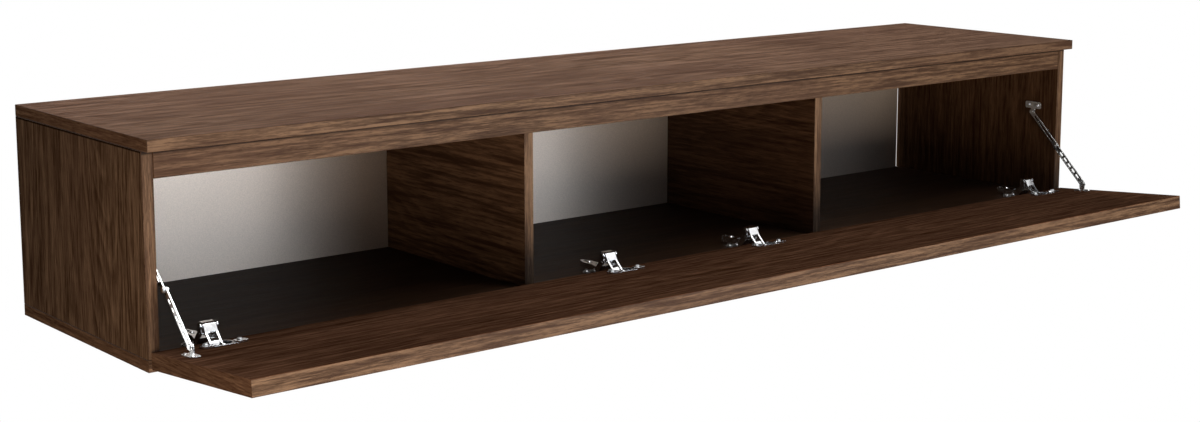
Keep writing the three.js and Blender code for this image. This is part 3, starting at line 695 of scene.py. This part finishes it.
def addInnerLink(number, x):
    shape = innerShape
    bm = bmesh.new()
    strap = strapOutline([shape["cup"], shape["rise"], shape["crown"], innerPivot], shape["thick"] / 2)
    addPlate(bm, strap, -shape["half"], shape["half"], across=True)
    knuckleHalf = shape["half"] + shape["knuckleReach"]
    addPin(bm, innerPivot, shape["knuckle"], -knuckleHalf, knuckleHalf)
    addPin(bm, shape["cup"], shape["cupKnuckle"], -knuckleHalf, knuckleHalf)
    roundEdges(bm, shape["rounding"])
    finishPiece("innerLink%d" % number, "hinge_inner_link_%d" % number, bm, [nickel],
                inCabinet @ Matrix.Translation((x, 0, 0)), smoothing["bent"])


# Arm: a thin channel with an adjusting slot, and a forked nose that holds the two pins. A screw's head is its
# radius and its height, and sunk is how far it stands below the channel's top.
armShape = {"start": 14.5, "flare": 34, "taper": 54, "end": 70, "nose": 12.5, "noseDepth": 4.6,
            "cheekSteps": 14, "half": 8, "tip": 3.5, "tipSteps": 10, "wall": 1.5, "lap": 0.2, "low": 3.5,
            "top": 12.5, "slot": 2.4, "slotFrom": 42, "slotTo": 64, "adjuster": (0, 31),
            "adjusterHead": (2.9, 1.6), "adjusterSunk": 2.2, "hole": 3.2, "lock": (0, 51),
            "lockHead": (3.4, 1.7), "lockSunk": 0.4, "pin": 1.5, "pinHead": 2.4, "headFoot": 0.3,
            "headHeight": 0.6, "rounding": 0.4}


def armOutline(inset):
    shape = armShape
    tip = shape["tip"] - inset
    rear = shape["end"] - inset - tip
    halfNose, half = shape["nose"] - inset, shape["half"] - inset
    shoulder = shape["start"] + shape["noseDepth"]
    rearEnd = arcPoints((0, rear), tip, 0, 180, shape["tipSteps"])
    return [(-halfNose, shape["start"] + inset), (halfNose, shape["start"] + inset), (halfNose, shoulder),
            (half, shape["flare"]), (half, shape["taper"]), *rearEnd, (-half, shape["taper"]),
            (-half, shape["flare"]), (-halfNose, shoulder)]


def addArm(number, x):
    shape = armShape
    low, top = cabinet["board"] + shape["low"], cabinet["board"] + shape["top"]
    roof, nose = top - shape["wall"], shape["nose"]
    bm = bmesh.new()
    slot = roundedOutline(-shape["slot"], shape["slot"], shape["slotFrom"], shape["slotTo"],
                          shape["slot"] - slack["round"])
    addPlate(bm, armOutline(0), roof, top, [slot, ringPoints(shape["adjuster"], shape["hole"])])
    addPlate(bm, armOutline(slack["skin"]), low, roof + shape["lap"], [armOutline(shape["wall"])])
    heel = (shape["start"] + shape["noseDepth"] / 2, top - shape["noseDepth"])
    cheek = strapOutline([armPivot, innerPivot, heel], shape["noseDepth"], shape["cheekSteps"])
    for hand in (-1, 1):
        addPlate(bm, cheek, hand * (nose - shape["wall"]), hand * (nose + slack["skin"]), across=True)
    for pivot in (armPivot, innerPivot):
        addPin(bm, pivot, shape["pin"], -nose, nose)
        for hand in (-1, 1):
            addPin(bm, pivot, shape["pinHead"], hand * (nose - shape["headFoot"]),
                   hand * (nose + shape["headHeight"]))
    roundEdges(bm, shape["rounding"])
    for screw in ("adjuster", "lock"):
        place = Matrix.Translation((*shape[screw], top - shape[screw + "Sunk"]))
        addScrew(bm, place, *shape[screw + "Head"])
    finishPiece("hingeArm%d" % number, "hinge_arm_%d" % number, bm, [nickel],
                inCabinet @ Matrix.Translation((x, 0, 0)), smoothing["bent"])


# Mounting plate: a block inside the arm, and a wing with a screw at each side
plateShape = {"back": 37, "length": 32, "half": 6.2, "top": 26.7, "corner": 1.0, "wing": 21, "width": 13,
              "wingSteps": 8, "thick": 2.0, "screws": 16, "screwTurns": (50, 25), "rounding": 0.4}


def addMountingPlate(number, x):
    shape = plateShape
    back, low = shape["back"], cabinet["board"] + cabinet["seat"]
    halfLength, halfWidth = shape["length"] / 2, shape["width"] / 2
    bm = bmesh.new()
    addPlate(bm, roundedOutline(-shape["half"], shape["half"], back - halfLength, back + halfLength,
                                shape["corner"]), low, shape["top"])
    wings = roundedOutline(-shape["wing"], shape["wing"], back - halfWidth, back + halfWidth,
                           halfWidth - slack["round"], shape["wingSteps"])
    holes = [ringPoints((hand * shape["screws"], back), screwShape["hole"]) for hand in (-1, 1)]
    addPlate(bm, wings, low, low + shape["thick"], holes)
    roundEdges(bm, shape["rounding"])
    place = inCabinet @ Matrix.Translation((x, 0, 0))
    finishPiece("mountingPlate%d" % number, "hinge_plate_%d" % number, bm, [zinc], place,
                smoothing["bent"])
    each, aside = shape["screwTurns"]
    for hand, side in ((-1, "left"), (1, "right")):
        spot = (hand * shape["screws"], back, low + shape["thick"] + cabinet["seat"])
        addScrewPiece("plateScrew%d%s" % (number, side), "plate_screw_%d_%s" % (number, side), spot,
                      each * number + aside * hand, place)


# Folding stays. A layer, a rivet or its head is given by its near and far end, as distances from the inner
# face of the side; a screw is its head's radius and height.
stayShape = {"inside": 884, "rounding": 0.3, "rivet": 2.0, "head": 3.6, "endSteps": 12,
             "bracket": (0.3, 1.8), "bracketLength": 34, "bracketHeight": 12, "bracketRise": 12,
             "bracketCorner": 3, "tabShort": 1, "bracketScrews": 10, "bracketScrew": (3.4, 1.6),
             "bracketRivet": (1.5, 6.0), "bracketHead": (5.6, 6.6),
             "upper": (3.2, 5.2), "upperLength": 81, "upperHalf": 4.5, "slotHalf": 1.7, "slotFrom": 12,
             "slotTo": 68, "upperHead": (2.2, 3.4),
             "lower": (5.6, 6.8), "lowerHalf": 5.0, "rib": 0.9, "ribThick": 1.3, "slots": 5,
             "lowerSlotHalf": 1.8, "lowerSlotLength": 9, "lowerMargin": 12, "lowerHead": (6.5, 7.8),
             "barrel": 2.4, "lowerBarrel": (6.8, 11.3),
             "foot": (0.4, 14.4), "footLength": 30, "footThick": 1.6, "footCorner": 3, "ear": (8.1, 9.6),
             "earHalf": 5.0, "footRivet": (5.2, 9.6), "footHead": (4.2, 5.2), "footScrewAside": 4.5,
             "footScrews": 10, "footScrew": (3.0, 1.4)}
stayTop = Vector(pivotOf("stay_upper_fold"))
stayFoot = Vector(pivotOf("stay_lower_fold"))
stayLine = (stayFoot - stayTop).normalized()
stayKnuckle = stayTop + stayLine * stayShape["upperLength"]


def addStay(side, hand):
    shape = stayShape

    def depth(distance):
        return hand * (shape["inside"] - distance)

    def layer(name, more=0.0):
        return sorted((depth(shape[name][0]), depth(shape[name][1] + more)))

    def addRivet(bm, spot, radius, name):
        addPin(bm, spot, shape[radius], *layer(name))

    # bracket on the cabinet's side, with two screws above the pivot
    bm = bmesh.new()
    y, z = stayTop[0], stayTop[1] + shape["bracketRise"]
    halfLength, halfHeight = shape["bracketLength"] / 2, shape["bracketHeight"] / 2
    addPlate(bm, roundedOutline(y - halfLength, y + halfLength, z - halfHeight, z + halfHeight,
                                shape["bracketCorner"]), *layer("bracket"), across=True)
    tab = strapOutline([stayTop, (y, z - shape["tabShort"])], shape["upperHalf"], shape["endSteps"])
    addPlate(bm, tab, *layer("bracket", slack["skin"]), across=True)
    addRivet(bm, stayTop, "rivet", "bracketRivet")
    addRivet(bm, stayTop, "head", "bracketHead")
    roundEdges(bm, shape["rounding"])
    for step in (-1, 1):
        place = Matrix.Translation((depth(shape["bracket"][1]), y + step * shape["bracketScrews"], z))
        addScrew(bm, place @ Matrix.Rotation(math.radians(-90 * hand), 4, "Y"), *shape["bracketScrew"])
    finishPiece("stayBracket_" + side, "stay_side_bracket_" + side, bm, [zinc], inCabinet,
                smoothing["bent"])

    # upper arm: a flat bar with one long slot
    bm = bmesh.new()
    slot = strapOutline([stayTop + stayLine * shape["slotFrom"], stayTop + stayLine * shape["slotTo"]],
                        shape["slotHalf"])
    bar = strapOutline([stayTop, stayKnuckle], shape["upperHalf"], shape["endSteps"])
    addPlate(bm, bar, *layer("upper"), [slot], across=True)
    addRivet(bm, stayKnuckle, "head", "upperHead")
    roundEdges(bm, shape["rounding"])
    finishPiece("stayUpperArm_" + side, "stay_upper_arm_" + side, bm, [satin], inCabinet,
                smoothing["bent"])

    # lower arm: a web with a row of slots between two ribs, and the barrel at the knuckle
    bm = bmesh.new()
    pitch = ((stayFoot - stayKnuckle).length - 2 * shape["lowerMargin"]) / shape["slots"]
    reach = stayLine * (shape["lowerSlotLength"] / 2 - shape["lowerSlotHalf"])
    middles = [stayKnuckle + stayLine * (shape["lowerMargin"] + pitch * (number + 0.5))
               for number in range(shape["slots"])]
    slots = [strapOutline([middle - reach, middle + reach], shape["lowerSlotHalf"]) for middle in middles]
    web = strapOutline([stayKnuckle, stayFoot], shape["lowerHalf"], shape["endSteps"])
    addPlate(bm, web, *layer("lower"), slots, across=True)
    ribAside = shape["lowerHalf"] - shape["ribThick"] / 2 - slack["skin"]
    for edge in (-ribAside, ribAside):
        offset = Vector((-stayLine.y, stayLine.x)) * edge
        addPlate(bm, strapOutline([stayKnuckle + offset, stayFoot + offset], shape["ribThick"] / 2),
                 *layer("lower", shape["rib"]), across=True)
    addRivet(bm, stayKnuckle, "head", "lowerHead")
    addRivet(bm, stayKnuckle, "barrel", "lowerBarrel")
    roundEdges(bm, shape["rounding"])
    finishPiece("stayLowerArm_" + side, "stay_lower_arm_" + side, bm, [satin], inCabinet,
                smoothing["bent"])

    # foot on the flap: a screwed base and one ear with a rivet
    bm = bmesh.new()
    along, up = flapSpot(stayFoot)
    face = flap["thick"] + cabinet["seat"]
    halfLength, top = shape["footLength"] / 2, face + shape["footThick"]
    addPlate(bm, roundedOutline(*layer("foot"), along - halfLength, along + halfLength, shape["footCorner"]),
             face, top)
    ear = strapOutline([(along, up), (along, face + shape["earHalf"])], shape["earHalf"], shape["endSteps"])
    addPlate(bm, ear, *layer("ear"), across=True)
    addRivet(bm, (along, up), "rivet", "footRivet")
    addRivet(bm, (along, up), "head", "footHead")
    roundEdges(bm, shape["rounding"])
    for step in (-1, 1):
        spot = (depth(shape["footScrewAside"]), along + step * shape["footScrews"], top)
        addScrew(bm, Matrix.Translation(spot), *shape["footScrew"])
    finishPiece("stayFoot_" + side, "stay_foot_" + side, bm, [satin], inFlap,
                smoothing["bent"])


def addFittings():
    for number, x in enumerate(hingeX, 1):
        addCup(number, x)
        addOuterLink(number, x)
        addInnerLink(number, x)
        addArm(number, x)
        addMountingPlate(number, x)
    addStay("left", -1)
    addStay("right", 1)
    print("fittings made:", len(hingeX), "hinges and 2 stays")


addFittings()


# Studio: a plain pale floor well below the hung console, and soft light. Floor and room are white to the
# camera alone, so that the wood stands in a dim room as in the photograph. A lamp is seen in the light that
# surfaces scatter, in what they mirror, or in both; the cards are mirrored only.
studio = {"floor": -0.75, "floorHalf": 14, "floorTone": 0.20, "floorRoughness": 0.9, "room": 0.035,
          "aim": (0, -0.2, 0)}
lamps = {
    "key": {"place": (0.45, -3.0, -0.45), "size": (1.6, 0.6), "power": 112, "seen": ["diffuse"],
            "colour": (1, 0.84, 0.68)},
    "fill": {"place": (-1.5, -1.2, -0.21), "size": (0.6, 0.4), "power": 17, "seen": ["diffuse"],
             "colour": (1, 0.84, 0.7)},
    "top": {"place": (0.0, 1.7, 1.6), "size": (4.0, 1.0), "power": 174, "seen": ["diffuse"],
            "colour": (1.0, 1.0, 1.05)},
    "over": {"place": (-0.4, -0.8, 2.3), "size": (3.4, 0.5), "power": 48, "seen": ["diffuse", "glossy"]},
    "lowCard": {"place": (0.68, -2.2, -0.15), "size": (1.6, 1.1), "power": 26.5, "seen": ["glossy"],
                "colour": (0.92, 1.0, 1.09)},
    "highCard": {"place": (1.1, -2.5, 1.9), "size": (5.0, 3.2), "power": 56, "seen": ["glossy"]},
    "roofCard": {"place": (2.0, -1.0, 2.6), "size": (3.6, 1.8), "power": 22, "seen": ["glossy"]},
    "sideCard": {"place": (-2.3, 1.5, -0.4), "size": (2.2, 1.4), "power": 24, "seen": ["glossy"]},
}


def whiteToCamera(tree, shader, whiteKind):
    path = tree.nodes.new("ShaderNodeLightPath")
    white = tree.nodes.new(whiteKind)
    fill(white, Color=(1, 1, 1, 1), Strength=1.0)
    either = tree.nodes.new("ShaderNodeMixShader")
    link(tree, path.outputs["Is Camera Ray"], either.inputs[0])
    link(tree, shader, either.inputs[1])
    link(tree, white.outputs[0], either.inputs[2])
    return either.outputs[0]


# Seen from below, the floor lets the console show
def makePaleFloor():
    pale = bpy.data.materials.new("paleFloor")
    pale.use_nodes = True
    tree = pale.node_tree
    skin = tree.nodes["Principled BSDF"]
    tone = studio["floorTone"]
    fill(skin, Base_Color=(tone, tone, tone, 1), Roughness=studio["floorRoughness"])
    side = tree.nodes.new("ShaderNodeNewGeometry")
    clear = tree.nodes.new("ShaderNodeBsdfTransparent")
    either = tree.nodes.new("ShaderNodeMixShader")
    link(tree, side.outputs["Backfacing"], either.inputs[0])
    link(tree, whiteToCamera(tree, skin.outputs[0], "ShaderNodeEmission"), either.inputs[1])
    link(tree, clear.outputs[0], either.inputs[2])
    link(tree, either.outputs[0], tree.nodes["Material Output"].inputs["Surface"])
    return pale


def addFloor():
    bm = bmesh.new()
    bmesh.ops.create_grid(bm, x_segments=1, y_segments=1, size=studio["floorHalf"])
    bmesh.ops.translate(bm, verts=bm.verts[:], vec=(0, 0, studio["floor"]))
    mesh = bpy.data.meshes.new("floor")
    bm.to_mesh(mesh)
    bm.free()
    mesh.materials.append(makePaleFloor())
    floor = bpy.data.objects.new("floor", mesh)
    scene.collection.objects.link(floor)


def addLamp(name, lamp):
    light = bpy.data.lights.new(name, "AREA")
    light.shape = "RECTANGLE"
    light.size, light.size_y = lamp["size"]
    light.energy = lamp["power"]
    light.color = lamp.get("colour", (1, 1, 1))
    holder = bpy.data.objects.new(name, light)
    holder.location = lamp["place"]
    holder.visible_camera = False
    holder.visible_diffuse = "diffuse" in lamp["seen"]
    holder.visible_glossy = "glossy" in lamp["seen"]
    aim = Vector(studio["aim"]) - Vector(lamp["place"])
    holder.rotation_euler = aim.to_track_quat("-Z", "Y").to_euler()
    scene.collection.objects.link(holder)


def addRoom():
    scene.world = bpy.data.worlds.new("studio")
    scene.world.use_nodes = True
    room = scene.world.node_tree
    dim = room.nodes["Background"]
    fill(dim, Color=(1, 1, 1, 1), Strength=studio["room"])
    seen = whiteToCamera(room, dim.outputs[0], "ShaderNodeBackground")
    link(room, seen, room.nodes["World Output"].inputs["Surface"])
    scene.view_settings.view_transform = "Standard"


addFloor()
for lampName, lamp in lamps.items():
    addLamp(lampName, lamp)
addRoom()
print("studio made")
